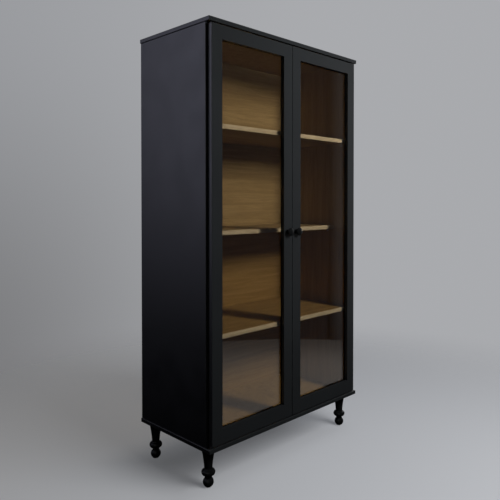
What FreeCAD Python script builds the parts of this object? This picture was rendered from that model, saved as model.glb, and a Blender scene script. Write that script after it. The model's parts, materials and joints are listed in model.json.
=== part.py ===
import FreeCAD, Part
import os
from math import asin, cos, sin

# Two-door glazed display cabinet on four turned legs.
# Millimetres, +Z up. The origin is on the floor, midway between the two ends of the top
# board and midway between the knobs' tips and the back. +X is to the right for someone
# who faces the doors, and +Y points to the back.

V = FreeCAD.Vector
os.makedirs("parts", exist_ok=True)

# ---------------------------------------------------------------- driving dimensions
BODY_W = 900.0            # length of the top and base boards
BODY_D = 435.0            # depth of the top and base boards
BODY_H = 1570.0           # from the base board's underside to the top board's top
LEG_H = 150.0             # from the floor to the base board's underside
BOARD = 16.0              # thickness of the top, base and side boards
SHELF = 18.0              # thickness of a shelf
OVERHANG = 4.0            # boards past the side panels
BACK_T = 5.0              # back panel
REBATE_W = 8.0            # width of the back panel's rebate in each board
EASE = 2.0                # rounding on the boards' edges

SIDE_SET = 25.0           # side panels' front edge, behind the boards' front edge
SHELF_SET = 34.0          # upper and lower shelf's front edge, same datum
MIDDLE_SET = 115.0        # middle shelf's front edge, same datum
SHELF_TOPS = {"lower_shelf": 414.0, "middle_shelf": 795.0, "upper_shelf": 1199.0}
SHELF_GAP = 1.0           # shelf end to side panel
SHELF_BACK_GAP = 2.0      # shelf to back panel
SHELF_EASE = 1.0          # rounding on a shelf's front edge

DOOR_SET = 2.0            # doors' front face, behind the boards' front edge
DOOR_T = 20.0
DOOR_IN = 14.0            # door's outer edge, inside the boards' end
DOOR_CLEAR = 5.0          # above and below a door
MEET_GAP = 3.0            # between the two doors
STILE = 50.0
TOP_RAIL = 51.0
BOTTOM_RAIL = 56.0
DOOR_EASE = 2.5           # rounding on a door's outer edge
MEET_EASE = 1.0           # rounding where the doors meet
LIP = 12.0                # frame's thickness in front of the glass
GLAZE_W = 8.0             # width of the glazing rebate
TAPE = 0.8
GLASS = 4.0
GLASS_GAP = 1.0           # glass edge to rebate wall

PIVOT_IN = 7.0            # pivot axis, inside the door's outer edge
PIVOT_BACK = 8.0          # pivot axis, in front of the door's back face
PIN_R = 3.0
RUNNING = 0.05            # radial clearance of the pivot pin in its socket
SOCKET_R = 4.5
SOCKET_DEPTH = 14.0
PLATE_L = 36.0            # pivot and socket plates
PLATE_W = 12.0
PLATE_T = 2.5
WASHER_R = 7.0

KNOB_R = 17.0
KNOB_OUT = 24.0           # knob's reach from the door's face
KNOB_SCREW_R = 2.0

LEG_SIDE = 42.0           # leg axis, inside the side panel's outer face
LEG_FRONT = 37.0          # leg axis, inside the carcass's front and back
LEG_PLATE = 62.0
LEG_PLATE_T = 3.0
GLIDE_R = 12.0
GLIDE_T = 2.5

FIT = 0.1                 # clearance round dowels, screws and cams

# ---------------------------------------------------------------- places worked out
HALF = BODY_W / 2
FRONT = -(BODY_D - (KNOB_OUT - DOOR_SET)) / 2     # boards' front edge
BACK = FRONT + BODY_D
BASE_TOP = LEG_H + BOARD
TOP_Z = LEG_H + BODY_H
TOP_UNDER = TOP_Z - BOARD
SIDE_OUT = HALF - OVERHANG
SIDE_IN = SIDE_OUT - BOARD
SIDE_FRONT = FRONT + SIDE_SET
PANEL_FRONT = BACK - BACK_T                       # back panel's front face

DOOR_OUT = HALF - DOOR_IN
DOOR_MEET = MEET_GAP / 2
DOOR_LOW = BASE_TOP + DOOR_CLEAR
DOOR_HIGH = TOP_UNDER - DOOR_CLEAR
DOOR_FRONT = FRONT + DOOR_SET
DOOR_BACK = DOOR_FRONT + DOOR_T
OPEN_OUT = DOOR_OUT - STILE                       # glazed opening's sides
OPEN_IN = DOOR_MEET + STILE
OPEN_LOW = DOOR_LOW + BOTTOM_RAIL
OPEN_HIGH = DOOR_HIGH - TOP_RAIL
REBATE_Y = DOOR_FRONT + LIP
GLASS_Y = REBATE_Y + TAPE
BEAD_Y = GLASS_Y + GLASS
PIVOT_X = DOOR_OUT - PIVOT_IN
PIVOT_Y = DOOR_BACK - PIVOT_BACK
KNOB_X = DOOR_MEET + STILE / 2
KNOB_Z = (DOOR_LOW + DOOR_HIGH) / 2
LEG_X = SIDE_OUT - LEG_SIDE
LEG_YS = {"front": SIDE_FRONT + LEG_FRONT, "rear": BACK - LEG_FRONT}
LEG_TOP = LEG_H - LEG_PLATE_T
SIDES = {"left": -1, "right": 1}


# ---------------------------------------------------------------- helpers
def block(x0, x1, y0, y1, z0, z1):
    """A box between two corners, given in any order."""
    x0, x1 = sorted((x0, x1))
    y0, y1 = sorted((y0, y1))
    z0, z1 = sorted((z0, z1))
    return Part.makeBox(x1 - x0, y1 - y0, z1 - z0, V(x0, y0, z0))


def rod(radius, start, direction, length):
    """A round bar from a start point along a direction."""
    return Part.makeCylinder(radius, length, V(*start), V(*direction))


def turned(outline, centre, direction=V(0, 0, 1)):
    """A solid turned from an outline of (radius, height) edges about the Z axis."""
    face = Part.Face(Part.Wire(outline))
    solid = face.revolve(V(0, 0, 0), V(0, 0, 1), 360)
    solid.Placement = FreeCAD.Placement(V(*centre), FreeCAD.Rotation(V(0, 0, 1), direction))
    return solid


def line(a, b):
    return Part.LineSegment(V(a[0], 0, a[1]), V(b[0], 0, b[1])).toShape()


def arc(a, middle, b):
    return Part.Arc(V(a[0], 0, a[1]), V(middle[0], 0, middle[1]), V(b[0], 0, b[1])).toShape()


def ease(shape, radius, wanted):
    """Rounds the edges for which wanted(edge middle, edge direction) is true."""
    edges = []
    for edge in shape.Edges:
        along = edge.tangentAt(edge.FirstParameter)
        if wanted(edge.CenterOfMass, along):
            edges.append(edge)
    return shape.makeFillet(radius, edges)


def cap(edge_r, edge_z, top_z):
    """The arc of a spherical cap, from its edge to its top on the axis."""
    rise = top_z - edge_z
    sphere_r = (edge_r ** 2 + rise ** 2) / (2 * rise)
    centre_z = top_z - sphere_r
    half = asin(edge_r / sphere_r) / 2
    middle = (sphere_r * sin(half), centre_z + sphere_r * cos(half))
    return arc((edge_r, edge_z), middle, (0, top_z))


def near(a, b):
    return abs(a - b) < 0.01


def countersunk(tip, direction, length, radius):
    """A countersunk screw: its head's face is at tip, and its shank runs along direction."""
    head_r = 2.0 * radius
    outline = [
        line((0, 0), (head_r, 0)),
        line((head_r, 0), (radius, radius)),
        line((radius, radius), (radius, length - radius)),
        line((radius, length - radius), (0, length)),
        line((0, length), (0, 0)),
    ]
    screw = turned(outline, tip, V(*direction))
    slot = block(-head_r * 0.6, head_r * 0.6, -0.35, 0.35, -1, radius * 0.7)
    cross = slot.fuse(block(-0.35, 0.35, -head_r * 0.6, head_r * 0.6, -1, radius * 0.7))
    cross.Placement = screw.Placement
    return screw.cut(cross)


def screw_hole(tip, direction, length, radius):
    """The space that a countersunk screw needs."""
    head_r = 2.0 * radius + FIT
    shank = radius + FIT
    above = -0.5
    tip_z = length + FIT
    outline = [
        line((0, above), (head_r, above)),
        line((head_r, above), (head_r, 0)),
        line((head_r, 0), (shank, radius)),
        line((shank, radius), (shank, tip_z)),
        line((shank, tip_z), (0, tip_z)),
        line((0, tip_z), (0, above)),
    ]
    return turned(outline, tip, V(*direction))


def save(node, solids):
    """Writes one node, made of one solid or of a list of separate solids."""
    shape = Part.makeCompound(solids) if isinstance(solids, list) else solids
    assert shape.isValid(), node
    shape.exportStep("parts/%s.step" % node)
    print("%-28s %2d solid(s) %10.1f cm3" % (node, len(shape.Solids), shape.Volume / 1000))


# ---------------------------------------------------------------- shelf supports
# A support is a 5 mm pin in the side panel with an angle plate: one leaf lies on the
# panel, the other under the shelf.
PIN_HOLE_R = 2.5
PIN_DEPTH = 9.0
LEAF = 12.0
LEAF_T = 1.5
PIN_DROP = 5.0            # pin axis below the shelf
SUPPORT_FRONT = 37.0      # front supports, behind the shelf's front edge
SUPPORT_REAR = 50.0       # rear supports, in front of the back panel


def shelf_front(name):
    return FRONT + (MIDDLE_SET if name == "middle_shelf" else SHELF_SET)


def shelf_under(name):
    return LEG_H + SHELF_TOPS[name] - SHELF


def support_places(name):
    """Every support of one shelf as (side, y, z of the shelf's underside)."""
    ys = (shelf_front(name) + SUPPORT_FRONT, PANEL_FRONT - SUPPORT_REAR)
    return [(s, y, shelf_under(name)) for s in SIDES.values() for y in ys]


def shelf_support(s, y, z):
    face = s * SIDE_IN
    pin = rod(PIN_HOLE_R, (face - s * LEAF_T, y, z - PIN_DROP), (s, 0, 0), PIN_DEPTH + LEAF_T)
    wall = block(face, face - s * LEAF_T, y - LEAF / 2, y + LEAF / 2, z - LEAF, z)
    ledge = block(face, face - s * LEAF, y - LEAF / 2, y + LEAF / 2, z - LEAF_T, z)
    return pin.fuse([wall, ledge]).removeSplitter()


# ---------------------------------------------------------------- carcass fittings
# Each end of a side panel is joined to its board by two dowels and two cam fittings.
DOWEL_R = 4.0
DOWEL_L = 34.0
DOWEL_IN_BOARD = 11.0
DOWEL_YS = (90.0, 330.0)  # behind the side panel's front edge
CAM_YS = (55.0, 365.0)
CAM_R = 7.5
CAM_DEEP = 12.0
CAM_IN = 34.0             # cam's axis from the panel's end
CAM_BOLT_R = 3.0
CAM_NECK_R = 2.0
CAM_KEY = 5.0             # half the length of a cam's turning slot
CAM_KEY_HALF_T = 0.6


def joint_ends():
    """Both ends of both side panels as (side, z of the joint, direction into the board)."""
    return [(s, z, up) for s in SIDES.values() for z, up in ((BASE_TOP, -1), (TOP_UNDER, 1))]


def side_mid(s):
    return s * (SIDE_IN + SIDE_OUT) / 2


def dowel_at(s, z, up, y, extra=0.0):
    start = (side_mid(s), SIDE_FRONT + y, z + up * (DOWEL_IN_BOARD + extra))
    return rod(DOWEL_R + extra, start, (0, 0, -up), DOWEL_L + 2 * extra)


def cam_disc(s, z, up, y, extra=0.0):
    start = (s * (SIDE_IN - extra), SIDE_FRONT + y, z - up * CAM_IN)
    disc = rod(CAM_R + extra, start, (s, 0, 0), CAM_DEEP + extra)
    if extra:
        return disc
    x, yc, zc = start
    mouth = block(x + s * 3.5, x + s * 12.5, yc - 4, yc + 4, zc, zc + up * 9)
    key = block(x - s, x + s * 2, yc - CAM_KEY, yc + CAM_KEY,
                zc - CAM_KEY_HALF_T, zc + CAM_KEY_HALF_T)
    return disc.cut([mouth, key])


def cam_bolt(s, z, up, y, extra=0.0):
    yc = SIDE_FRONT + y
    start = (side_mid(s), yc, z + up * (DOWEL_IN_BOARD + extra))
    reach = DOWEL_IN_BOARD + CAM_IN - (0.0 if extra else 1.0)
    shank = rod(CAM_BOLT_R + extra, start, (0, 0, -up), reach + extra)
    if extra:
        return shank
    neck = rod(CAM_BOLT_R + 1, (side_mid(s), yc, z - up * (CAM_IN - 6)), (0, 0, up), 1.5)
    groove = neck.cut(rod(CAM_NECK_R, (side_mid(s), yc, z - up * (CAM_IN - 5)), (0, 0, up), 3.5))
    return shank.cut(groove)


def all_fittings(maker, ys, extra=0.0, only=None):
    places = [end for end in joint_ends() if only is None or only(end)]
    return [maker(s, z, up, y, extra) for s, z, up in places for y in ys]


# ---------------------------------------------------------------- back panel's screws
BACK_SCREW_R = 1.5
BACK_SCREW_L = 15.0
BACK_EDGE_X = SIDE_IN + REBATE_W / 2
BACK_LOW = BASE_TOP - REBATE_W / 2
BACK_HIGH = TOP_UNDER + REBATE_W / 2


def back_screw_places():
    span = BACK_HIGH - BACK_LOW
    rows = [(s * BACK_EDGE_X, BACK_LOW + span * t) for s in SIDES.values()
            for t in (0.08, 0.29, 0.5, 0.71, 0.92)]
    ends = [(x, z) for z in (BACK_LOW, BACK_HIGH) for x in (-300.0, 0.0, 300.0)]
    return rows + ends


def back_screws(maker):
    return [maker((x, BACK, z), (0, -1, 0), BACK_SCREW_L, BACK_SCREW_R)
            for x, z in back_screw_places()]


# ---------------------------------------------------------------- door pivots
PLATE_SCREW_R = 1.75
PLATE_SCREW_L = 12.0
PLATE_SCREWS = (11.0, 22.0)   # from the pivot axis, towards the door's middle
PLATE_TAIL = 6.0              # plate past the pivot axis, on the outer side
PIN_IN_SOCKET = 9.0           # pivot pin's reach into the door


def plate_box(s, z, up, grow=0.0):
    """The plate's bar; its outer face is at z and it lies on the up side of z."""
    x0 = s * (PIVOT_X + PLATE_TAIL + grow)
    x1 = s * (PIVOT_X + PLATE_TAIL - PLATE_L - grow)
    w = PLATE_W / 2 + grow
    return block(x0, x1, PIVOT_Y - w, PIVOT_Y + w, z, z + up * PLATE_T)


def plate_screws(maker, s, z, up):
    return [maker((s * (PIVOT_X - d), PIVOT_Y, z), (0, 0, up), PLATE_SCREW_L, PLATE_SCREW_R)
            for d in PLATE_SCREWS]


def pin_plate(s, z, up):
    """Let into a board, its face at z; the pin stands out towards the door."""
    plate = plate_box(s, z, up)
    reach = DOOR_CLEAR + PLATE_T + PIN_IN_SOCKET
    pin = rod(PIN_R, (s * PIVOT_X, PIVOT_Y, z), (0, 0, -up), reach)
    return plate.fuse(pin).removeSplitter().cut(plate_screws(screw_hole, s, z, up))


def socket_plate(s, z, up):
    """Let into the end of a hinge stile, with a tube that takes the pin."""
    plate = plate_box(s, z, up)
    centre = (s * PIVOT_X, PIVOT_Y, z)
    tube = rod(SOCKET_R, centre, (0, 0, up), SOCKET_DEPTH)
    bore = rod(PIN_R + RUNNING, (s * PIVOT_X, PIVOT_Y, z - up), (0, 0, up), SOCKET_DEPTH)
    body = plate.fuse(tube).removeSplitter()
    return body.cut([bore] + plate_screws(screw_hole, s, z, up))


def pivot_washer(s):
    """The spacer that carries a door on the base board."""
    ring = rod(WASHER_R, (s * PIVOT_X, PIVOT_Y, BASE_TOP), (0, 0, 1), DOOR_CLEAR)
    return ring.cut(rod(PIN_R + FIT, (s * PIVOT_X, PIVOT_Y, BASE_TOP), (0, 0, 1), DOOR_CLEAR))


def pivot_room(s, z, up, tube):
    """What a plate, its screws and, in a door, its tube take out of the wood."""
    tools = [plate_box(s, z, up, FIT)] + plate_screws(screw_hole, s, z, up)
    if tube:
        tools.append(rod(SOCKET_R + FIT, (s * PIVOT_X, PIVOT_Y, z), (0, 0, up),
                         SOCKET_DEPTH + FIT))
    return tools


# ---------------------------------------------------------------- legs
LEG_SCREW = 23.0          # screw holes of a leg plate, from its middle
LEG_SCREW_R = 2.0
LEG_SCREW_L = 14.0
LEG_BOLT_R = 4.0
BOLT_IN_LEG = 28.0
BOLT_IN_BOARD = 12.0


def leg_places():
    return [(end + "_" + side, s * LEG_X, y)
            for end, y in LEG_YS.items() for side, s in SIDES.items()]


def leg(x, y):
    """A tapered top, a round bead, a neck and a flattened ball foot."""
    ball_r, ball_low, ball_high = 20.5, GLIDE_T, 33.0
    sole_r, neck_r, bead_r, waist_r, top_r = 13.0, 13.5, 26.0, 15.5, 27.0
    ball_mid = (ball_low + ball_high) / 2
    bead_low, bead_high = 43.0, 66.0
    outline = [
        line((0, ball_low), (sole_r, ball_low)),
        arc((sole_r, ball_low), (ball_r, ball_mid), (neck_r, ball_high)),
        line((neck_r, ball_high), (neck_r, bead_low - 3)),
        arc((neck_r, bead_low - 3), (neck_r + 1, bead_low - 1), (neck_r + 4, bead_low)),
        arc((neck_r + 4, bead_low), (bead_r, (bead_low + bead_high) / 2), (waist_r + 3, bead_high)),
        arc((waist_r + 3, bead_high), (waist_r + 0.7, bead_high + 1.5), (waist_r, bead_high + 5)),
        arc((waist_r, bead_high + 5), (20.0, 112.0), (top_r, LEG_TOP)),
        line((top_r, LEG_TOP), (0, LEG_TOP)),
        line((0, LEG_TOP), (0, ball_low)),
    ]
    wood = turned(outline, (x, y, 0))
    return wood.cut(rod(LEG_BOLT_R + FIT, (x, y, LEG_TOP), (0, 0, -1), BOLT_IN_LEG + 1))


def leg_plate(x, y):
    half = LEG_PLATE / 2
    plate = block(x - half, x + half, y - half, y + half, LEG_TOP, LEG_H)
    plate = ease(plate, 8.0, lambda mid, along: abs(along.z) > 0.9)
    holes = [rod(LEG_BOLT_R + FIT, (x, y, LEG_TOP - 1), (0, 0, 1), LEG_PLATE_T + 2)]
    return plate.cut(holes + leg_screws(screw_hole, x, y))


def leg_screws(maker, x, y):
    return [maker((x + i * LEG_SCREW, y + j * LEG_SCREW, LEG_TOP), (0, 0, 1),
                  LEG_SCREW_L, LEG_SCREW_R) for i in (-1, 1) for j in (-1, 1)]


def leg_bolt(x, y):
    length = BOLT_IN_LEG + LEG_PLATE_T + BOLT_IN_BOARD
    return rod(LEG_BOLT_R, (x, y, LEG_TOP - BOLT_IN_LEG), (0, 0, 1), length)


def glide(x, y):
    pad = rod(GLIDE_R, (x, y, 0), (0, 0, 1), GLIDE_T)
    return ease(pad, 0.8, lambda mid, along: near(mid.z, 0))


# ---------------------------------------------------------------- boards
def flat_board(low, high):
    """The top or base board, eased on its front edge and its two ends."""
    board = block(-HALF, HALF, FRONT, BACK, low, high)

    def shown(mid, along):
        level = abs(along.z) < 0.1
        at_front = near(mid.y, FRONT)
        at_end = near(abs(mid.x), HALF)
        corner = abs(along.z) > 0.9 and at_front
        return corner or (level and (at_front or at_end))

    return ease(board, EASE, shown)


def back_rebate(low, high):
    x = SIDE_IN + REBATE_W
    return block(-x, x, PANEL_FRONT, BACK + 1, low, high)


def top_board():
    board = flat_board(TOP_UNDER, TOP_Z)
    tools = [back_rebate(TOP_UNDER - 1, TOP_UNDER + REBATE_W)]
    tools += all_fittings(dowel_at, DOWEL_YS, FIT, lambda end: end[2] > 0)
    tools += all_fittings(cam_bolt, CAM_YS, FIT, lambda end: end[2] > 0)
    for s in SIDES.values():
        tools += pivot_room(s, TOP_UNDER, 1, False)
        tools += catch_screws(screw_hole, s)
    return board.cut(tools + back_screws(screw_hole))


def base_board():
    board = flat_board(LEG_H, BASE_TOP)
    tools = [back_rebate(BASE_TOP - REBATE_W, BASE_TOP + 1)]
    tools += all_fittings(dowel_at, DOWEL_YS, FIT, lambda end: end[2] < 0)
    tools += all_fittings(cam_bolt, CAM_YS, FIT, lambda end: end[2] < 0)
    for s in SIDES.values():
        tools += pivot_room(s, BASE_TOP, -1, False)
    for _, x, y in leg_places():
        tools += leg_screws(screw_hole, x, y)
        tools.append(rod(LEG_BOLT_R + FIT, (x, y, LEG_H), (0, 0, 1), BOLT_IN_BOARD + FIT))
    return board.cut(tools + back_screws(screw_hole))


def side_panel(s):
    panel = block(s * SIDE_IN, s * SIDE_OUT, SIDE_FRONT, BACK, BASE_TOP, TOP_UNDER)
    panel = ease(panel, EASE, lambda mid, along: abs(along.z) > 0.9 and near(mid.y, SIDE_FRONT))
    rebate = block(s * SIDE_IN, s * (SIDE_IN + REBATE_W), PANEL_FRONT, BACK, BASE_TOP, TOP_UNDER)
    tools = [rebate]
    this_side = (lambda end: end[0] == s)
    tools += all_fittings(dowel_at, DOWEL_YS, FIT, this_side)
    tools += all_fittings(cam_disc, CAM_YS, FIT, this_side)
    tools += all_fittings(cam_bolt, CAM_YS, FIT, this_side)
    for name in SHELF_TOPS:
        for side, y, z in support_places(name):
            if side == s:
                tools.append(rod(PIN_HOLE_R + FIT, (s * SIDE_IN, y, z - PIN_DROP), (s, 0, 0),
                                 PIN_DEPTH + FIT))
    return panel.cut(tools + back_screws(screw_hole))


def back_panel():
    x = SIDE_IN + REBATE_W - FIT
    low = BASE_TOP - REBATE_W + FIT
    high = TOP_UNDER + REBATE_W - FIT
    return block(-x, x, PANEL_FRONT, BACK, low, high).cut(back_screws(screw_hole))


def shelf(name):
    x = SIDE_IN - SHELF_GAP
    low = shelf_under(name)
    board = block(-x, x, shelf_front(name), PANEL_FRONT - SHELF_BACK_GAP, low, low + SHELF)
    return ease(board, SHELF_EASE,
                lambda mid, along: near(mid.y, shelf_front(name)) and abs(along.x) > 0.9)


# ---------------------------------------------------------------- doors
DOOR_DOWEL_L = 36.0
DOOR_DOWEL_STEP = 24.0


def door_dowel_places(s):
    """Dowels across each rail's ends as (x of the joint, z)."""
    rails = ((DOOR_LOW + (BOTTOM_RAIL - GLAZE_W) / 2), (DOOR_HIGH - (TOP_RAIL - GLAZE_W) / 2))
    return [(s * x, z + d) for x in (OPEN_OUT, OPEN_IN) for z in rails
            for d in (-DOOR_DOWEL_STEP / 2, DOOR_DOWEL_STEP / 2)]


def door_dowels(s, extra=0.0):
    y = DOOR_FRONT + DOOR_T / 2
    half = DOOR_DOWEL_L / 2 + extra
    return [rod(DOWEL_R + extra, (x - half, y, z), (1, 0, 0), 2 * half)
            for x, z in door_dowel_places(s)]


def glazing_rebate(s):
    """The space behind the lip, all round the opening."""
    return block(s * (OPEN_IN - GLAZE_W), s * (OPEN_OUT + GLAZE_W), REBATE_Y, DOOR_BACK + 1,
                 OPEN_LOW - GLAZE_W, OPEN_HIGH + GLAZE_W)


def hinge_stile(s):
    """Eased at the front and at the back of its outer edge, which turns past the side panel."""
    bar = block(s * OPEN_OUT, s * DOOR_OUT, DOOR_FRONT, DOOR_BACK, DOOR_LOW, DOOR_HIGH)
    upright = (lambda mid, along: near(abs(mid.x), DOOR_OUT) and abs(along.z) > 0.9)
    bar = ease(bar, DOOR_EASE, upright)
    tools = pivot_room(s, DOOR_LOW, 1, True) + pivot_room(s, DOOR_HIGH, -1, True)
    return bar.cut([glazing_rebate(s)] + door_dowels(s, FIT) + tools)


def meeting_stile(s):
    bar = block(s * DOOR_MEET, s * OPEN_IN, DOOR_FRONT, DOOR_BACK, DOOR_LOW, DOOR_HIGH)
    bar = ease(bar, MEET_EASE, lambda mid, along: near(mid.y, DOOR_FRONT)
               and near(abs(mid.x), DOOR_MEET))
    hole = rod(KNOB_SCREW_R + FIT, (s * KNOB_X, DOOR_FRONT - 1, KNOB_Z), (0, 1, 0), DOOR_T + 2)
    return bar.cut([glazing_rebate(s), hole] + door_dowels(s, FIT) + strike_screws(screw_hole, s))


def rail(s, z0, z1):
    bar = block(s * OPEN_IN, s * OPEN_OUT, DOOR_FRONT, DOOR_BACK, z0, z1)
    return bar.cut([glazing_rebate(s)] + door_dowels(s, FIT))


def glass_pane(s):
    x0 = OPEN_IN - GLAZE_W + GLASS_GAP
    x1 = OPEN_OUT + GLAZE_W - GLASS_GAP
    z0 = OPEN_LOW - GLAZE_W + GLASS_GAP
    z1 = OPEN_HIGH + GLAZE_W - GLASS_GAP
    return block(s * x0, s * x1, GLASS_Y, GLASS_Y + GLASS, z0, z1)


def glazing_tape(s):
    width = 6.0
    grow = GLAZE_W - GLASS_GAP
    outer = block(s * (OPEN_IN - grow), s * (OPEN_OUT + grow), REBATE_Y, GLASS_Y,
                  OPEN_LOW - grow, OPEN_HIGH + grow)
    inner = grow - width
    hole = block(s * (OPEN_IN - inner), s * (OPEN_OUT + inner), REBATE_Y - 1, GLASS_Y + 1,
                 OPEN_LOW - inner, OPEN_HIGH + inner)
    return outer.cut(hole)


def side_beads(s):
    """The two upright beads behind the glass."""
    low, high = OPEN_LOW - GLAZE_W + FIT, OPEN_HIGH + GLAZE_W - FIT
    return [block(s * (OPEN_IN - GLAZE_W + FIT), s * OPEN_IN, BEAD_Y, DOOR_BACK, low, high),
            block(s * OPEN_OUT, s * (OPEN_OUT + GLAZE_W - FIT), BEAD_Y, DOOR_BACK, low, high)]


def end_beads(s):
    """The two level beads, cut between the upright ones."""
    x0, x1 = s * (OPEN_IN + FIT), s * (OPEN_OUT - FIT)
    return [block(x0, x1, BEAD_Y, DOOR_BACK, OPEN_LOW - GLAZE_W + FIT, OPEN_LOW),
            block(x0, x1, BEAD_Y, DOOR_BACK, OPEN_HIGH, OPEN_HIGH + GLAZE_W - FIT)]


def knob(s):
    """A mushroom knob: a small foot, a waist and a domed head."""
    foot_r, waist_r = 9.0, 6.0
    rim = 16.0
    outline = [
        line((0, 0), (foot_r, 0)),
        line((foot_r, 0), (foot_r, 2.0)),
        arc((foot_r, 2.0), (waist_r + 0.6, 4.2), (waist_r, 7.0)),
        arc((waist_r, 7.0), (waist_r + 2.4, 11.2), (KNOB_R - 2, 13.0)),
        arc((KNOB_R - 2, 13.0), (KNOB_R, rim), (KNOB_R - 2.5, rim + 3.2)),
        cap(KNOB_R - 2.5, rim + 3.2, KNOB_OUT),
        line((0, KNOB_OUT), (0, 0)),
    ]
    head = turned(outline, (s * KNOB_X, DOOR_FRONT, KNOB_Z), V(0, -1, 0))
    return head.cut(rod(KNOB_SCREW_R + FIT, (s * KNOB_X, DOOR_FRONT, KNOB_Z), (0, -1, 0), 13))


def knob_screw(s):
    head_r, head_t = 4.0, 2.4
    shank = rod(KNOB_SCREW_R, (s * KNOB_X, DOOR_BACK, KNOB_Z), (0, -1, 0), DOOR_T + 12)
    head = rod(head_r, (s * KNOB_X, DOOR_BACK, KNOB_Z), (0, 1, 0), head_t)
    head = ease(head, 1.2, lambda mid, along: near(mid.y, DOOR_BACK + head_t))
    slot = block(s * KNOB_X - 5, s * KNOB_X + 5, DOOR_BACK + 1.4, DOOR_BACK + 3,
                 KNOB_Z - 0.5, KNOB_Z + 0.5)
    return shank.fuse(head).removeSplitter().cut(slot)


# ---------------------------------------------------------------- magnetic catches
CATCH_X0 = 4.0
CATCH_X1 = 44.0
CATCH_H = 16.0
CATCH_FRONT = DOOR_BACK + 1.5
CATCH_D = 14.0
CATCH_EAR = 10.0
CATCH_EAR_T = 3.0
CATCH_HOLE = 5.0          # screw hole, from an ear's edges
CATCH_SCREW_R = 1.5
CATCH_SCREW_L = 13.0
POLE_HALF = 7.0
POLE_T = 1.5
POLE_DROPS = (8.0, 12.0)  # pole plates, below the top board
STRIKE_T = 1.2
STRIKE_HALF = 12.0
STRIKE_DROPS = (18.0, 6.0)    # strike plate's edges, below the top board
STRIKE_SCREW = 7.5
STRIKE_SCREW_R = 1.4
STRIKE_SCREW_L = 11.0
CATCH_MID = (CATCH_X0 + CATCH_X1) / 2


def catch_screws(maker, s):
    y = CATCH_FRONT + CATCH_D - CATCH_HOLE
    z = TOP_UNDER - CATCH_EAR_T
    return [maker((s * x, y, z), (0, 0, 1), CATCH_SCREW_L, CATCH_SCREW_R)
            for x in (CATCH_X0 + CATCH_HOLE, CATCH_X1 - CATCH_HOLE)]


def magnetic_catch(s):
    """A housing with two screw ears; two pole plates show at its front."""
    y1 = CATCH_FRONT + CATCH_D
    ears = block(s * CATCH_X0, s * CATCH_X1, CATCH_FRONT + 4, y1,
                 TOP_UNDER - CATCH_EAR_T, TOP_UNDER)
    housing = block(s * (CATCH_X0 + CATCH_EAR), s * (CATCH_X1 - CATCH_EAR), CATCH_FRONT + 1, y1,
                    TOP_UNDER - CATCH_H, TOP_UNDER)
    poles = [block(s * (CATCH_MID - POLE_HALF), s * (CATCH_MID + POLE_HALF),
                   CATCH_FRONT, CATCH_FRONT + 1, TOP_UNDER - z - POLE_T, TOP_UNDER - z)
             for z in POLE_DROPS]
    return ears.fuse([housing] + poles).removeSplitter().cut(catch_screws(screw_hole, s))


def strike_plate(s):
    low, high = (TOP_UNDER - drop for drop in STRIKE_DROPS)
    plate = block(s * (CATCH_MID - STRIKE_HALF), s * (CATCH_MID + STRIKE_HALF),
                  DOOR_BACK, DOOR_BACK + STRIKE_T, low, high)
    return plate.cut(strike_screws(screw_hole, s))


def strike_screws(maker, s):
    z = TOP_UNDER - sum(STRIKE_DROPS) / 2
    return [maker((s * (CATCH_MID + d), DOOR_BACK + STRIKE_T, z), (0, -1, 0),
                  STRIKE_SCREW_L, STRIKE_SCREW_R) for d in (-STRIKE_SCREW, STRIKE_SCREW)]


# ---------------------------------------------------------------- write every node
save("top_board", top_board())
save("base_board", base_board())
save("back_panel", back_panel())
save("carcass_dowels", all_fittings(dowel_at, DOWEL_YS))
save("cam_discs", all_fittings(cam_disc, CAM_YS))
save("cam_bolts", all_fittings(cam_bolt, CAM_YS))
save("back_panel_screws", back_screws(countersunk))

for shelf_name in SHELF_TOPS:
    save(shelf_name, shelf(shelf_name))
    save(shelf_name + "_supports", [shelf_support(*place) for place in support_places(shelf_name)])

for leg_name, leg_x, leg_y in leg_places():
    save(leg_name + "_leg", leg(leg_x, leg_y))
save("leg_plates", [leg_plate(x, y) for _, x, y in leg_places()])
save("leg_bolts", [leg_bolt(x, y) for _, x, y in leg_places()])
save("leg_plate_screws", [screw for _, x, y in leg_places()
                          for screw in leg_screws(countersunk, x, y)])
save("leg_glides", [glide(x, y) for _, x, y in leg_places()])

save("lower_pivot_plates", [pin_plate(s, BASE_TOP, -1) for s in SIDES.values()])
save("upper_pivot_plates", [pin_plate(s, TOP_UNDER, 1) for s in SIDES.values()])
save("pivot_washers", [pivot_washer(s) for s in SIDES.values()])
save("pivot_plate_screws", [screw for s in SIDES.values()
                            for z, up in ((BASE_TOP, -1), (TOP_UNDER, 1))
                            for screw in plate_screws(countersunk, s, z, up)])
save("catch_screws", [screw for s in SIDES.values() for screw in catch_screws(countersunk, s)])

for side, s in SIDES.items():
    save(side + "_side_panel", side_panel(s))
    save(side + "_magnetic_catch", magnetic_catch(s))
    door = side + "_door_"
    save(door + "hinge_stile", hinge_stile(s))
    save(door + "meeting_stile", meeting_stile(s))
    save(door + "bottom_rail", rail(s, DOOR_LOW, OPEN_LOW))
    save(door + "top_rail", rail(s, OPEN_HIGH, DOOR_HIGH))
    save(door + "dowels", door_dowels(s))
    save(door + "glass", glass_pane(s))
    save(door + "glazing_tape", glazing_tape(s))
    save(door + "side_beads", side_beads(s))
    save(door + "end_beads", end_beads(s))
    save(door + "knob", knob(s))
    save(door + "knob_screw", knob_screw(s))
    save(door + "pivot_sockets", [socket_plate(s, DOOR_LOW, 1), socket_plate(s, DOOR_HIGH, -1)])
    save(door + "socket_screws", plate_screws(countersunk, s, DOOR_LOW, 1)
         + plate_screws(countersunk, s, DOOR_HIGH, -1))
    save(door + "strike_plate", strike_plate(s))
    save(door + "strike_screws", strike_screws(countersunk, s))
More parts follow.
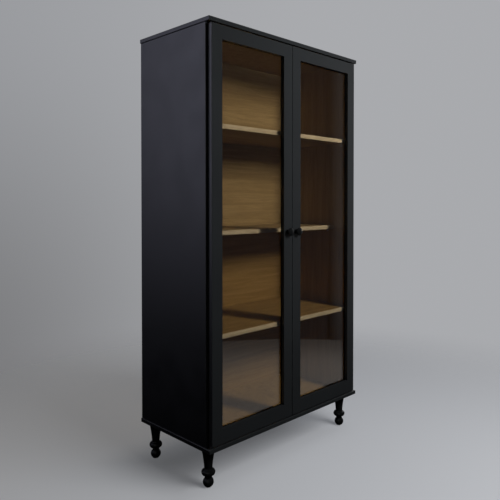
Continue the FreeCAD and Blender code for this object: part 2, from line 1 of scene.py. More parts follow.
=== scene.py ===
# %% [markdown]
# # A two-door glazed display cabinet on turned legs
# The cabinet is a tall black box on four short turned legs. Two framed doors with
# bronze glass hang on pivot pins, and behind them stand three oak shelves in front of
# an oak-veneered back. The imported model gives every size, so this lesson reads its
# places from there, and spends its work on what a cabinet maker would call the finish:
# lacquer, veneer, glass, turned wood and small steel fittings.

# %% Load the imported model
import json
import math

import bmesh
import bpy
from mathutils import Matrix, Vector


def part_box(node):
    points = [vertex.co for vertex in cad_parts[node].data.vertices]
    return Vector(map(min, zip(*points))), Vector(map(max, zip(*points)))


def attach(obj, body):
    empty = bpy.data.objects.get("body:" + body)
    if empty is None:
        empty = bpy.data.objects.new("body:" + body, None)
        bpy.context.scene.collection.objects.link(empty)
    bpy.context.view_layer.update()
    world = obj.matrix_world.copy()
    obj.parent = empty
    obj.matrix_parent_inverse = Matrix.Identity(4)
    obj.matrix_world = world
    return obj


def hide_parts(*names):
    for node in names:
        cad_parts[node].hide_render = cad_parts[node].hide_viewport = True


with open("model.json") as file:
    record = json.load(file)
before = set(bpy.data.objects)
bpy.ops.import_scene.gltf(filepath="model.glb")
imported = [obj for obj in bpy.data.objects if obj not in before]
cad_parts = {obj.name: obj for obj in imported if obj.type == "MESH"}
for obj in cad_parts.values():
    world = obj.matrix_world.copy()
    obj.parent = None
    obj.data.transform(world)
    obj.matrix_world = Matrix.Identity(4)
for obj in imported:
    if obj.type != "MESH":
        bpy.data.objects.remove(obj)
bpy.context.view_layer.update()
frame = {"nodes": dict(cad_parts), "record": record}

# %% [markdown]
# ## Places worth a name
# A workshop drawing gives a few faces that everything else is measured from. Here they
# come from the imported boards: the corners of the top board, the top of the base board,
# the inner face and front edge of the side panels, the front of the back panel, and the
# middle shelf. Nothing is typed in twice.

# %% Faces that the other cells measure from
SIDES = {"left": -1.0, "right": 1.0}
case_low, case_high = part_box("top_board")
base_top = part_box("base_board")[1].z
panel_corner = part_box("right_side_panel")[0]
side_inside, panel_front = panel_corner.x, panel_corner.y
back_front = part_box("back_panel")[0].y
shelf_low, shelf_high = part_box("middle_shelf")
print("case width %.3f depth %.3f top %.3f" % (
    case_high.x - case_low.x, case_high.y - case_low.y, case_high.z))

# %% [markdown]
# ## The camera
# The cabinet is seen from its front left corner, from about chest height, with the
# camera nearly level. A view camera would keep the uprights parallel by raising or
# lowering its lens board rather than by tilting, and a small shift does that here.

# %% Put up the camera
CAMERA_PLACE = Vector((-1.7363, -1.7292, 1.0616))
CAMERA_TURN = math.radians(45.460)
CAMERA_DIP = math.radians(0.861)
LENS = 40.174             # millimetres, on a 36 mm wide sensor
SHIFT = (-0.0215, -0.0814)
looking = Vector((
    math.sin(CAMERA_TURN) * math.cos(CAMERA_DIP),
    math.cos(CAMERA_TURN) * math.cos(CAMERA_DIP),
    -math.sin(CAMERA_DIP),
))
camera = bpy.data.objects.new("camera", bpy.data.cameras.new("camera"))
bpy.context.scene.collection.objects.link(camera)
camera.location = CAMERA_PLACE
camera.rotation_mode = "QUATERNION"
camera.rotation_quaternion = looking.to_track_quat("-Z", "Y")
camera.data.sensor_width = 36.0
camera.data.lens = LENS
camera.data.shift_x, camera.data.shift_y = SHIFT
camera.data.clip_start = 0.05
camera.data.clip_end = 60.0
bpy.context.scene.camera = camera
bpy.context.scene.view_settings.view_transform = "Standard"
print("camera", [round(v, 3) for v in camera.location])

# %% [markdown]
# ## Wiring materials
# A material is a small graph of nodes. Writing each link by hand hides the idea, so two
# helpers do it: one starts a material and hands back its tree, its shader and the
# object's own coordinates, and one adds a node with its settings and inputs at once.

# %% Helpers that start a material and add a node
def add(tree, kind, settings=None, **inputs):
    """Adds a node. A value that is a socket is linked, any other is set."""
    node = tree.nodes.new(kind)
    for name, value in (settings or {}).items():
        setattr(node, name, value)
    for name, value in inputs.items():
        key = int(name[1:]) if name[1:].isdigit() else name.replace("_", " ")
        if isinstance(value, bpy.types.NodeSocket):
            tree.links.new(value, node.inputs[key])
        else:
            node.inputs[key].default_value = value
    return node


def start_material(name):
    """A new material with one Principled shader and the object's coordinates."""
    material = bpy.data.materials.new(name)
    material.use_nodes = True
    tree = material.node_tree
    shader = tree.nodes["Principled BSDF"]
    place = tree.nodes.new("ShaderNodeTexCoord").outputs["Object"]
    return material, tree, shader, place


def colour(red, green, blue):
    """A colour that hides what is behind it."""
    return (red, green, blue, 1.0)


print("node helpers ready")

# %% [markdown]
# ## Sums on coordinates
# Almost every finish here asks a question about a point: how far along is it, how far
# out, which way does it face? Each question is one or two nodes, and a name for it makes
# a recipe readable.

# %% Helpers that measure
def maths(tree, operation, a, b=0.0):
    """One sum, product or comparison of two values."""
    return add(tree, "ShaderNodeMath", {"operation": operation}, _0=a, _1=b).outputs[0]


def both(tree, a, b):
    """The share of a that is also in b: their product."""
    return maths(tree, "MULTIPLY", a, b)


def along(tree, way, other):
    """How far one vector reaches along another: their dot product."""
    return add(tree, "ShaderNodeVectorMath", {"operation": "DOT_PRODUCT"}, _0=way,
               _1=other).outputs["Value"]


def reach(tree, place):
    """How far a point is from the origin."""
    return add(tree, "ShaderNodeVectorMath", {"operation": "LENGTH"}, _0=place).outputs["Value"]


def axes(tree, place):
    """The X, Y and Z of a point, as three sockets."""
    return add(tree, "ShaderNodeSeparateXYZ", _0=place).outputs


def between(tree, value, low, high, out_low=0.0, out_high=1.0):
    """Maps low..high to out_low..out_high, and stops at the ends."""
    return add(tree, "ShaderNodeMapRange", {"interpolation_type": "SMOOTHSTEP"}, _0=value,
               _1=low, _2=high, _3=out_low, _4=out_high).outputs["Result"]


def worn_edges(tree, width):
    """1 on a rounded or sharp outer edge and 0 on the flats, for wear and build-up."""
    soft = add(tree, "ShaderNodeBevel", {"samples": 4}, Radius=width).outputs["Normal"]
    flat = tree.nodes.new("ShaderNodeNewGeometry").outputs["Normal"]
    return between(tree, along(tree, soft, flat), 0.995, 0.90)


print("measuring helpers ready")

# %% [markdown]
# ## Patterns, blends and bumps
# Wood, lacquer and plastic are never one flat tone. Noise at the right scale gives the
# change, a blend turns it into colour, and a bump turns it into a surface that catches
# the light.

# %% Helpers that make a pattern
def stretched(tree, place, scale):
    """The coordinates scaled by a different amount along each axis."""
    return add(tree, "ShaderNodeMapping", Vector=place, Scale=scale).outputs["Vector"]


def noise(tree, place, scale, detail=3.0, roughness=0.5, distortion=0.0):
    """A noise value, 0 to 1, at so many features per metre."""
    return add(tree, "ShaderNodeTexNoise", Vector=place, Scale=scale, Detail=detail,
               Roughness=roughness, Distortion=distortion).outputs["Fac"]


def mixed(tree, factor, colour_a, colour_b):
    """A blend of two colours."""
    node = tree.nodes.new("ShaderNodeMix")
    node.data_type = "RGBA"
    for socket, value in ((node.inputs[0], factor), (node.inputs[6], colour_a),
                          (node.inputs[7], colour_b)):
        if isinstance(value, bpy.types.NodeSocket):
            tree.links.new(value, socket)
        else:
            socket.default_value = value
    return node.outputs[2]


def bumped(tree, shader, heights, distance, strength):
    """Raises the surface by heights x distance, in metres."""
    bump = add(tree, "ShaderNodeBump", Height=heights, Distance=distance, Strength=strength)
    tree.links.new(bump.outputs["Normal"], shader.inputs["Normal"])


print("pattern helpers ready")

# %% [markdown]
# ## The backdrop
# The studio is a seamless sheet of pale paper, and the light on it is painted into the
# backdrop: darker on the left and low down, paler on the right. What the camera sees and what
# the cabinet mirrors are two things.
# The camera sees the paper, while the lacquer and the glass mirror the dark room behind
# the camera, with one paler wall far to the right.

# %% Colour the backdrop and the room
BACKDROP_LEFT_LOW = colour(0.175, 0.176, 0.182)
BACKDROP_LEFT_HIGH = colour(0.315, 0.322, 0.340)
BACKDROP_RIGHT = colour(0.395, 0.402, 0.420)
RIGHTWARDS = (0.715, -0.699, 0.0)         # to the right, as the camera sees it
ROOM = colour(0.012, 0.012, 0.013)
FRONT_WALL = colour(0.030, 0.030, 0.036)
FRONT_WALL_WAY = (0.64, -0.77, 0.0)
SIDE_WALL = colour(0.215, 0.212, 0.215)
SIDE_WALL_WAY = (0.8, -0.6, 0.0)
SIDE_WALL_START = (0.606, 0.795, 0.0)     # the side wall starts square to this way

world = bpy.data.worlds.new("studio")
world.use_nodes = True
bpy.context.scene.world = world
sky = world.node_tree
sky_way = sky.nodes.new("ShaderNodeTexCoord").outputs["Generated"]
sky_height = axes(sky, sky_way)[2]
# painted light and shade: the paper is darker low on the left and paler to the right
left_paper = mixed(sky, between(sky, sky_height, -0.30, 0.34), BACKDROP_LEFT_LOW,
                   BACKDROP_LEFT_HIGH)
right_share = between(sky, along(sky, sky_way, RIGHTWARDS), -0.55, 0.15)
backdrop = mixed(sky, right_share, left_paper, BACKDROP_RIGHT)

in_front = between(sky, along(sky, sky_way, FRONT_WALL_WAY), 0.1, 0.8)
room = mixed(sky, both(sky, in_front, between(sky, sky_height, -0.25, 0.15)), ROOM, FRONT_WALL)
past_start = between(sky, along(sky, sky_way, SIDE_WALL_START), -0.012, 0.02)
beside = both(sky, past_start, between(sky, along(sky, sky_way, SIDE_WALL_WAY), 0.6, 0.9))
room = mixed(sky, both(sky, beside, between(sky, sky_height, -0.42, -0.12)), room, SIDE_WALL)
seen = sky.nodes.new("ShaderNodeLightPath").outputs["Is Camera Ray"]
sky.links.new(mixed(sky, seen, room, backdrop), sky.nodes["Background"].inputs["Color"])
print("backdrop ready")

# %% [markdown]
# ## The floor
# The floor is one round sheet that fades into the backdrop at its rim, so no edge shows.
# A real studio's walls light the paper from all sides, except under the cabinet, so the
# sheet glows faintly and the glow drops in a soft block below the case. From below the
# sheet is clear, so the underside of the cabinet can be looked at.

# %% Lay the floor
FLOOR_R = 7.0
FLOOR_DROP = 0.0005                       # keeps the paper clear of the glides
FLOOR_PAPER = colour(0.50, 0.508, 0.525)
GLOW_LEFT = colour(0.165, 0.166, 0.170)
GLOW_RIGHT = colour(0.145, 0.152, 0.166)
SHADE_MIDDLE = (-0.12, 0.06)              # the shaded block leans left and back
SHADE_HALF_DEPTH = 0.24
SHADE_GLOW = 0.55


def stage_disc(name, radius, place=(0.0, 0.0, 0.0)):
    """A round flat sheet that faces up."""
    bm = bmesh.new()
    bmesh.ops.create_circle(bm, cap_ends=True, segments=96, radius=radius)
    bmesh.ops.translate(bm, vec=place, verts=bm.verts)
    mesh = bpy.data.meshes.new(name)
    bm.to_mesh(mesh)
    bm.free()
    disc = bpy.data.objects.new(name, mesh)
    bpy.context.scene.collection.objects.link(disc)
    return disc


floor = stage_disc("studio_floor", FLOOR_R, (0.0, 0.0, -FLOOR_DROP))
floor.visible_glossy = False
floor.visible_diffuse = False
paper, tree, shader, place = start_material("seamless_paper")
shader.inputs["Base Color"].default_value = FLOOR_PAPER
shader.inputs["Roughness"].default_value = 1.0
shader.inputs["Specular IOR Level"].default_value = 0.0
right_share = between(tree, along(tree, place, RIGHTWARDS), -1.3, 0.6)
tree.links.new(mixed(tree, right_share, GLOW_LEFT, GLOW_RIGHT), shader.inputs["Emission Color"])
on_floor = axes(tree, place)
off_side = maths(tree, "ABSOLUTE", maths(tree, "SUBTRACT", on_floor[0], SHADE_MIDDLE[0]))
off_front = maths(tree, "ABSOLUTE", maths(tree, "SUBTRACT", on_floor[1], SHADE_MIDDLE[1]))
outside = maths(tree, "MAXIMUM", maths(tree, "SUBTRACT", off_side, case_high.x),
                maths(tree, "SUBTRACT", off_front, SHADE_HALF_DEPTH))
tree.links.new(between(tree, outside, 0.10, -0.24, 1.0, SHADE_GLOW),
               shader.inputs["Emission Strength"])
from_below = tree.nodes.new("ShaderNodeNewGeometry").outputs["Backfacing"]
fade = maths(tree, "MAXIMUM", between(tree, reach(tree, place), 0.9, 2.6), from_below)
clear = tree.nodes.new("ShaderNodeBsdfTransparent")
faded = add(tree, "ShaderNodeMixShader", _0=fade, _1=shader.outputs[0], _2=clear.outputs[0])
tree.links.new(faded.outputs[0], tree.nodes["Material Output"].inputs["Surface"])
floor.data.materials.append(paper)
print("floor radius", FLOOR_R)

# %% [markdown]
# ## What the glass mirrors
# Two sheets stand in for the room that the panes mirror: the pale floor in front of the
# cabinet, whose rim draws the level line across the lower panes, and a dark wall far in
# front, which lays a faint veil over the upper ones. Only mirror rays see them, and only
# from the panes, so they neither light the cabinet nor show behind it.

# %% Put up the two mirrored sheets
SHEET_R = 2.09
SHEET_NEAR = colour(0.70, 0.66, 0.62)
SHEET_FAR = colour(0.30, 0.29, 0.28)
FAR_WALL_R = 40.0                         # so wide that its rim is nearly straight
FAR_WALL_END = 6.55                       # its right end, where the paler wall starts
FAR_WALL_Y = -5.0
VEIL = colour(0.078, 0.076, 0.084)


def only_mirrored(sheet, paper_name):
    """Hides a sheet from all but mirror rays and makes it glow. Returns its wiring."""
    sheet.visible_camera = False
    sheet.visible_diffuse = False
    sheet.visible_shadow = False
    sheet_paper, tree, shader, place = start_material(paper_name)
    shader.inputs["Base Color"].default_value = colour(0.0, 0.0, 0.0)
    shader.inputs["Specular IOR Level"].default_value = 0.0
    shader.inputs["Emission Strength"].default_value = 1.0
    sheet.data.materials.append(sheet_paper)
    return tree, shader, place


mirror_sheet = stage_disc("front_sheet", SHEET_R, (0.0, 0.0, -0.001))
tree, shader, place = only_mirrored(mirror_sheet, "front_sheet_paper")
sheet_tone = mixed(tree, between(tree, reach(tree, place), 1.35, 2.10), SHEET_NEAR, SHEET_FAR)
tree.links.new(sheet_tone, shader.inputs["Emission Color"])

far_wall = stage_disc("far_wall", FAR_WALL_R)
far_wall.rotation_euler = (math.radians(90.0), 0.0, 0.0)
far_wall.location = (FAR_WALL_END - FAR_WALL_R, FAR_WALL_Y, 1.0)
tree, shader, place = only_mirrored(far_wall, "far_wall_paper")
shader.inputs["Emission Color"].default_value = VEIL
print("mirrored sheets:", mirror_sheet.name, far_wall.name)

# %% [markdown]
# ## The lights
# A small strong light in front reaches through the glass to the back panel, and throws
# the shelves' shadows there. A tall bank of bands behind the left side draws the sheen
# down the black panel, brighter towards the top. A large one above and in front lights
# only the paper, and the others are weak and soft, so that no side of the cabinet is
# lost in the dark.

# %% Put up the lights
MIDDLE = (0.0, 0.0, 0.90)
SHEEN_WAY = (-0.804, 0.595, 0.0)
SHEEN_TINT = (0.77, 0.78, 1.0)
SHEEN_POWER = 6.5                         # watts per square metre of the brightest band
SHEEN_W = 3.0
SHEEN_BANDS = ((-0.14, 0.46, 0.14), (0.46, 1.06, 0.40), (1.06, 1.66, 0.70),
               (1.66, 2.26, 0.92), (2.26, 4.00, 1.0))


def soft_light(name, toward, distance, size, watts, target=MIDDLE, tint=(1.0, 1.0, 1.0)):
    """A rectangular light of a width and height, that shines on target from a direction."""
    data = bpy.data.lights.new(name, "AREA")
    data.shape = "RECTANGLE"
    data.size, data.size_y = size
    data.energy = watts
    data.color = tint
    light = bpy.data.objects.new(name, data)
    bpy.context.scene.collection.objects.link(light)
    way = Vector(toward).normalized()
    light.location = Vector(target) + way * distance
    light.rotation_mode = "QUATERNION"
    light.rotation_quaternion = way.to_track_quat("Z", "Y")
    light.visible_camera = False
    return light


key_light = soft_light("front_light", (0.10, -1.7, 0.62), 1.82, (0.36, 0.56), 66.0,
                       target=(0.30, -0.20, 1.30))
sheen_lights = []
for low, high, share in SHEEN_BANDS:
    power = SHEEN_POWER * share * SHEEN_W * (high - low)
    band = soft_light("sheen_light", SHEEN_WAY, 3.7, (SHEEN_W, high - low), power,
                      target=(-0.45, 0.0, (low + high) / 2), tint=SHEEN_TINT)
    sheen_lights.append(band)
soft_light("top_light", (0.25, -0.2, 1.0), 3.5, (2.5, 2.5), 11.0)
paper_light = soft_light("paper_light", (0.20, -1.0, 0.95), 3.4, (2.0, 2.0), 72.0,
                         target=(0.0, -0.2, 0.0))
back_light = soft_light("back_light", (0.62, 0.88, 0.30), 3.6, (2.6, 2.6), 105.0)
fill_light = soft_light("fill_light", (0.0, -1.0, -0.05), 3.0, (2.4, 1.6), 3.6)
left_light = soft_light("left_light", (-0.85, -0.52, 0.22), 3.6, (1.8, 2.2), 26.0)
right_light = soft_light("right_light", (1.0, 0.10, 0.22), 3.4, (2.2, 2.2), 34.0)
for light in (key_light, back_light, fill_light):
    light.visible_glossy = False
for light in sheen_lights + [left_light]:
    light.visible_diffuse = False

# %% [markdown]
# ## Black lacquer
# The cabinet is sprayed with satin black lacquer. Sprayed lacquer is never quite even:
# it has a fine orange-peel ripple, its gloss drifts a little across a panel, and it
# thins on an edge that is handled. Noise drives each of these at its own scale, and a
# bevel node finds the edges.

# %% Make the lacquer
LACQUER_DARK = colour(0.0082, 0.0090, 0.0096)
LACQUER_LIGHT = colour(0.0118, 0.0130, 0.0140)
LACQUER_WORN = colour(0.030, 0.030, 0.030)


def lacquered(tree, place):
    """The colour, gloss and ripple of satin black lacquer."""
    cloud = noise(tree, place, 3.0, 4.0)
    fine = noise(tree, place, 60.0, 4.0)
    tone = mixed(tree, cloud, LACQUER_DARK, LACQUER_LIGHT)
    edge = both(tree, worn_edges(tree, 0.0015), fine)
    tone = mixed(tree, maths(tree, "MULTIPLY", edge, 0.5), tone, LACQUER_WORN)
    gloss = between(tree, noise(tree, place, 9.0, 3.0), 0.3, 0.7, 0.36, 0.41)
    ripple = noise(tree, place, 700.0, 2.0)
    return tone, gloss, ripple


lacquer, tree, shader, place = start_material("black_lacquer")
tone, gloss, ripple = lacquered(tree, place)
tree.links.new(tone, shader.inputs["Base Color"])
tree.links.new(gloss, shader.inputs["Roughness"])
shader.inputs["Specular IOR Level"].default_value = 0.35
bumped(tree, shader, ripple, 0.0001, 0.15)
print("made", lacquer.name)

# %% [markdown]
# ## Oak veneer
# Oak shows broad bands of light and dark wood, finer dark streaks, and long thin pores.
# All three are noises stretched along the grain: the coordinates are squeezed in the
# grain's direction before they reach the noise. Inside the case, the oak below the middle
# shelf is made darker and warmer: painted shade for the dimmer light that reaches it there.

# %% Make the oak
OAK_LIGHT_BAND = colour(0.485, 0.358, 0.192)
OAK_DARK_BAND = colour(0.370, 0.262, 0.128)
OAK_STREAK = colour(0.285, 0.200, 0.102)
OAK_PORE = colour(0.150, 0.098, 0.048)
BELOW_SHELF_SHADE = colour(0.86, 0.76, 0.54)
ALONG_GRAIN = {"x": (0.05, 1.0, 1.0), "z": (1.0, 1.0, 0.05)}


def oak_parts(tree, place, grain):
    """Colour, gloss and height of oak whose grain runs along one axis, "x" or "z"."""
    grain_place = stretched(tree, place, ALONG_GRAIN[grain])
    bands = noise(tree, grain_place, 38.0, 3.0, 0.55, 1.2)
    streaks = noise(tree, grain_place, 260.0, 4.0, 0.6, 0.3)
    pores = between(tree, noise(tree, grain_place, 900.0, 2.0), 0.60, 0.72)
    tone = mixed(tree, between(tree, bands, 0.30, 0.70), OAK_DARK_BAND, OAK_LIGHT_BAND)
    tone = mixed(tree, between(tree, streaks, 0.45, 0.75, 0.0, 0.45), tone, OAK_STREAK)
    # painted shade: inside the case the oak below the middle shelf is made darker and warmer
    spot = axes(tree, place)
    in_case = maths(tree, "LESS_THAN", spot[1], back_front + 0.001)
    below_shelf_share = both(tree, in_case, between(tree, spot[2], shelf_high.z, shelf_low.z))
    below_shelf_tint = mixed(tree, below_shelf_share, colour(1.0, 1.0, 1.0), BELOW_SHELF_SHADE)
    tone = add(tree, "ShaderNodeVectorMath", {"operation": "MULTIPLY"}, _0=tone,
               _1=below_shelf_tint).outputs[0]
    tone = mixed(tree, maths(tree, "MULTIPLY", pores, 0.5), tone, OAK_PORE)
    gloss = between(tree, streaks, 0.3, 0.7, 0.48, 0.62)
    relief = maths(tree, "SUBTRACT", streaks, pores)
    return tone, gloss, relief


oak, tree, shader, place = start_material("oak_veneer")
tone, gloss, relief = oak_parts(tree, place, "x")
tree.links.new(tone, shader.inputs["Base Color"])
tree.links.new(gloss, shader.inputs["Roughness"])
shader.inputs["Specular IOR Level"].default_value = 0.30
bumped(tree, shader, relief, 0.0002, 0.25)
print("made", oak.name)

# %% [markdown]
# ## Boards that are black outside and oak inside
# The side panels, the top and the base are one board each, lacquered outside and
# veneered inside. One material does both: it asks where on the cabinet the surface is,
# and blends to oak on the faces that look into the case.

# %% Make the two-faced board
SEAM = 0.0003                             # how far past a face its finish still counts
LIPPING = 0.0022                          # the panels' front edge is black this deep
two_faced, tree, shader, place = start_material("lacquer_outside_oak_inside")
spot = axes(tree, place)
in_width = maths(tree, "LESS_THAN", maths(tree, "ABSOLUTE", spot[0]), side_inside + SEAM)
in_depth = maths(tree, "GREATER_THAN", spot[1], panel_front + LIPPING)
above = maths(tree, "GREATER_THAN", spot[2], base_top - SEAM)
below = maths(tree, "LESS_THAN", spot[2], case_low.z + SEAM)
inside = both(tree, both(tree, in_width, in_depth), both(tree, above, below))
black_tone, black_gloss, black_relief = lacquered(tree, place)
oak_tone, oak_gloss, oak_relief = oak_parts(tree, place, "z")
tree.links.new(mixed(tree, inside, black_tone, oak_tone), shader.inputs["Base Color"])
tree.links.new(mixed(tree, inside, black_gloss, oak_gloss), shader.inputs["Roughness"])
shader.inputs["Specular IOR Level"].default_value = 0.33
bumped(tree, shader, mixed(tree, inside, black_relief, oak_relief), 0.0001, 0.2)
print("made", two_faced.name)

# %% [markdown]
# ## Bronze glass
# The panes are 4 mm float glass with a bronze tint. A thin flat pane hardly bends what is
# behind it, so a clear shader carries the tint, and a mirror takes over towards a
# glancing view, with the fifth power that is usual for glass. A clear shader also lets
# the front light through to the shelves.

# %% Make the glass
BRONZE_TINT = colour(0.725, 0.70, 0.645)
MIRROR_TINT = colour(0.95, 0.96, 1.0)
HEAD_ON_MIRROR = 0.04                     # the share that glass mirrors when seen squarely
glass, tree, shader, place = start_material("bronze_glass")
tree.nodes.remove(shader)
tinted = add(tree, "ShaderNodeBsdfTransparent", Color=BRONZE_TINT)
smear = between(tree, noise(tree, place, 7.0, 4.0), 0.45, 0.8, 0.004, 0.02)
mirror = add(tree, "ShaderNodeBsdfGlossy", Color=MIRROR_TINT, Roughness=smear)
glance = add(tree, "ShaderNodeLayerWeight", Blend=0.5).outputs["Facing"]
mirror_share = maths(tree, "MULTIPLY_ADD", maths(tree, "POWER", glance, 5.0),
                     1.0 - HEAD_ON_MIRROR)
mirror_share.node.inputs[2].default_value = HEAD_ON_MIRROR
pane_mix = add(tree, "ShaderNodeMixShader", _0=mirror_share, _1=tinted.outputs[0],
               _2=mirror.outputs[0])
tree.links.new(pane_mix.outputs[0], tree.nodes["Material Output"].inputs["Surface"])
print("made", glass.name)

# %% [markdown]
# ## Pale oak edging
# A veneered shelf shows bare board at its front, so the maker glues on a thin strip of
# solid oak. It is paler and calmer than the veneer, with its grain along the edge.

# %% Make the edging
EDGING_PALE = colour(0.74, 0.645, 0.510)
EDGING_DARK = colour(0.58, 0.480, 0.355)
edging, tree, shader, place = start_material("oak_edging")
long_place = stretched(tree, place, (0.04, 1.0, 1.0))
strands = noise(tree, long_place, 420.0, 4.0, 0.6)
tone = mixed(tree, between(tree, strands, 0.35, 0.70), EDGING_PALE, EDGING_DARK)
tree.links.new(tone, shader.inputs["Base Color"])
tree.links.new(between(tree, strands, 0.3, 0.7, 0.45, 0.58), shader.inputs["Roughness"])
shader.inputs["Specular IOR Level"].default_value = 0.3
bumped(tree, shader, strands, 0.0001, 0.2)
print("made", edging.name)

# %% [markdown]
# ## Steel, zinc, nylon and foam
# The fittings come from a few trades: plated or blackened steel, cast zinc, moulded
# plastic and foam tape. Metals share one recipe and moulded things another, and each
# finish is one line of colours and gloss.

# %% Make the fittings' finishes
RUBBED = colour(0.75, 0.75, 0.74)


def metal(name, dull, bright, rough_low, rough_high):
    """Plated or blackened metal: fine scratches, and edges rubbed brighter."""
    material, tree, shader, place = start_material(name)
    rub = noise(tree, place, 300.0, 5.0, 0.6)
    tone = mixed(tree, between(tree, rub, 0.35, 0.7), dull, bright)
    tone = mixed(tree, maths(tree, "MULTIPLY", worn_edges(tree, 0.0006), 0.5), tone, RUBBED)
    tree.links.new(tone, shader.inputs["Base Color"])
    tree.links.new(between(tree, rub, 0.3, 0.7, rough_low, rough_high),
                   shader.inputs["Roughness"])
    shader.inputs["Metallic"].default_value = 1.0
    bumped(tree, shader, rub, 0.00005, 0.2)
    return material


def moulded(name, low, high, rough):
    """Moulded plastic, rubber or foam: a faint cloud of tone and a fine skin."""
    material, tree, shader, place = start_material(name)
    skin = noise(tree, place, 1500.0, 2.0)
    tone = mixed(tree, noise(tree, place, 80.0, 3.0), low, high)
    tree.links.new(tone, shader.inputs["Base Color"])
    tree.links.new(between(tree, skin, 0.3, 0.7, rough, rough + 0.1),
                   shader.inputs["Roughness"])
    bumped(tree, shader, skin, 0.00005, 0.25)
    return material


bright_steel = metal("bright_steel", colour(0.42, 0.42, 0.43), colour(0.62, 0.62, 0.62),
                     0.25, 0.40)
black_steel = metal("black_steel", colour(0.02, 0.02, 0.021), colour(0.045, 0.045, 0.046),
                    0.45, 0.60)
zinc = metal("zinc", colour(0.40, 0.41, 0.43), colour(0.52, 0.53, 0.55), 0.38, 0.55)
nylon = moulded("nylon", colour(0.58, 0.57, 0.53), colour(0.66, 0.65, 0.61), 0.45)
black_nylon = moulded("black_nylon", colour(0.020, 0.020, 0.020),
                      colour(0.032, 0.032, 0.032), 0.40)
foam = moulded("foam_tape", colour(0.010, 0.010, 0.010), colour(0.020, 0.020, 0.020), 0.85)
print("made", [m.name for m in (bright_steel, black_steel, zinc, nylon, black_nylon, foam)])

# %% [markdown]
# ## Beech for the dowels
# Dowels are turned from beech, which is pinkish and even, with short flecks. They are
# left bare, because glue needs raw wood.

# %% Make the beech
beech, tree, shader, place = start_material("dowel_beech")
flecks = noise(tree, stretched(tree, place, (0.2, 1.0, 0.2)), 500.0, 3.0)
tone = mixed(tree, flecks, colour(0.60, 0.42, 0.26), colour(0.72, 0.55, 0.37))
tree.links.new(tone, shader.inputs["Base Color"])
shader.inputs["Roughness"].default_value = 0.7
bumped(tree, shader, flecks, 0.0001, 0.3)
print("made", beech.name)

# %% [markdown]
# ## A catch in two materials
# A magnetic catch is a plastic box with two steel pole plates that stand proud of its
# front. As on the boards, one material asks where it is: what stands in front of the box
# is steel.

# %% Make the catch
POLE_PROUD = 0.00095                      # how far the poles stand in front of the box
BOX_DARK, BOX_LIGHT = colour(0.018, 0.017, 0.016), colour(0.030, 0.028, 0.026)
POLE_DULL, POLE_BRIGHT = colour(0.42, 0.42, 0.43), colour(0.60, 0.60, 0.60)
catch_body, tree, shader, place = start_material("catch_body")
box_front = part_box("left_magnetic_catch")[0].y + POLE_PROUD
is_pole = maths(tree, "LESS_THAN", axes(tree, place)[1], box_front)
skin = noise(tree, place, 1500.0, 2.0)
rub = noise(tree, stretched(tree, place, (0.1, 1.0, 1.0)), 900.0, 3.0)
box_tone = mixed(tree, skin, BOX_DARK, BOX_LIGHT)
pole_tone = mixed(tree, rub, POLE_DULL, POLE_BRIGHT)
tree.links.new(mixed(tree, is_pole, box_tone, pole_tone), shader.inputs["Base Color"])
tree.links.new(is_pole, shader.inputs["Metallic"])
tree.links.new(between(tree, rub, 0.3, 0.7, 0.36, 0.48), shader.inputs["Roughness"])
bumped(tree, shader, skin, 0.00005, 0.25)
print("made", catch_body.name)

# %% [markdown]
# ## Turned wood under lacquer
# The knobs and legs are turned wood under the same lacquer, a little less glossy than the
# boards. Their lacquer is also painted darker: painted shade for the dimmer light on them.

# %% Make the finish of the turned wood
PAINTED_SHADE_BLACK = colour(0.002, 0.002, 0.002)
shade_darkened_lacquer, tree, shader, place = start_material("shade_darkened_lacquer")
tone, _, ripple = lacquered(tree, place)
# painted shade: the lacquer tone is taken three quarters of the way to near black
tree.links.new(mixed(tree, 0.75, tone, PAINTED_SHADE_BLACK), shader.inputs["Base Color"])
tree.links.new(between(tree, ripple, 0.2, 0.8, 0.38, 0.48), shader.inputs["Roughness"])
shader.inputs["Specular IOR Level"].default_value = 0.1
bumped(tree, shader, ripple, 0.0001, 0.15)
print("made", shade_darkened_lacquer.name)

# %% [markdown]
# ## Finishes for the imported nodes
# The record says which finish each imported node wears. A few wear something more exact:
# the boards that are black outside and oak inside, and the fittings near the doors,
# which a maker of black cabinets buys in black.

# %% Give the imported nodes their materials
FINISHES = {
    "black_lacquer": lacquer, "oak_veneer": oak, "dowel_beech": beech,
    "bronze_glass": glass, "foam_tape": foam, "black_knob": shade_darkened_lacquer, "zinc": zinc,
    "black_steel": black_steel, "bright_steel": bright_steel, "nylon": nylon,
    "catch_plastic": catch_body,
}
TWO_FACED = ("top_board", "base_board", "left_side_panel", "right_side_panel")
DARK_FITTINGS = {
    "pivot_washers": black_nylon, "lower_pivot_plates": black_steel,
    "upper_pivot_plates": black_steel, "left_door_pivot_sockets": black_steel,
    "right_door_pivot_sockets": black_steel,
}
slot_of = {part["node"]: part["material_slot"] for part in frame["record"]["subparts"]}
for name, node in frame["nodes"].items():
    finish = two_faced if name in TWO_FACED else FINISHES[slot_of[name]]
    finish = DARK_FITTINGS.get(name, finish)
    for index in range(len(node.data.materials)):
        node.data.materials[index] = finish
print("nodes finished:", len(frame["nodes"]))

# %% [markdown]
# ## Turning a mesh into a piece
# Every new piece ends the same way: its faces are turned outwards, its curved faces are
# shaded smooth while its corners stay crisp, it is hung on the part of the cabinet it
# moves with, the imported nodes it stands for are hidden, and it gets the finish it wears.

# %% Helpers for pieces
MM = 0.001
SAME_POINT = 0.00001
SAME_FACE = 0.00005


